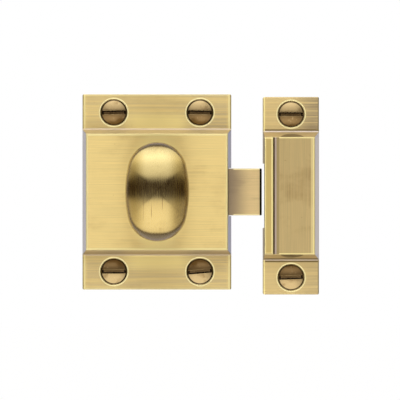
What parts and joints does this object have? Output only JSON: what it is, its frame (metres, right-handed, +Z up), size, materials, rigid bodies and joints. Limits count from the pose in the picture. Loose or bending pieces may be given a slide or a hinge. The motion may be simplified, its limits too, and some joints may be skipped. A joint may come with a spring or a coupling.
{
  "type": "cupboard catch latch",
  "caption": "Screw-on cupboard catch: an oval knob turns to draw back a spring bolt that shoots under the lip of a raised keeper.",
  "frame": {"origin": "centre of the case's back face, on the knob's axis", "axes": "+Z up along the case, +X the way the bolt shoots towards the keeper, -Y out of the front, where the knob is"},
  "size_m": [0.0807, 0.0492, 0.0684],
  "materials": {
    "case_brass": "antique brass, brushed side to side",
    "keeper_brass": "antique brass, brushed up and down, slightly duller",
    "knob_brass": "antique brass, satin, brushed up and down",
    "bolt_brass": "antique brass, brushed side to side",
    "screw_bronze": "darkened antique brass",
    "inner_brass": "machined",
    "plain_steel": "zinc plated",
    "spring_steel": "bright spring wire"
  },
  "bodies": {
    "case_body": {"case": "case_brass", "back_plate": "inner_brass", "back_plate_screw_1": "inner_brass", "back_plate_screw_2": "inner_brass", "back_plate_screw_3": "inner_brass", "back_plate_screw_4": "inner_brass", "case_screw_1": "screw_bronze", "case_screw_2": "screw_bronze", "case_screw_3": "screw_bronze", "case_screw_4": "screw_bronze", "spindle_washer": "inner_brass", "spring_guide_pin": "plain_steel", "bolt_spring": "spring_steel", "keeper": "keeper_brass", "keeper_screw_1": "screw_bronze", "keeper_screw_2": "screw_bronze"},
    "knob_body": {"knob": "knob_brass", "spindle": "inner_brass", "cam": "inner_brass", "cam_screw": "plain_steel"},
    "bolt_body": {"bolt": "bolt_brass"}
  },
  "joints": [
    {"name": "knob_turn", "type": "hinge", "parent": "case_body", "child": "knob_body", "pos_m": [0, 0, 0], "axis": [0, 1, 0], "range_deg": [0, 60]},
    {"name": "bolt_slide", "type": "slide", "parent": "case_body", "child": "bolt_body", "axis": [-1, 0, 0], "range_m": [0, 0.009], "stiffness_N_per_m": 395, "springref_m": -0.003, "deforming": ["bolt_spring"]}
  ],
  "couplings": [
    {"joint": "knob_turn", "follows": "bolt_slide", "rad_per_m": 116.36}
  ]
}
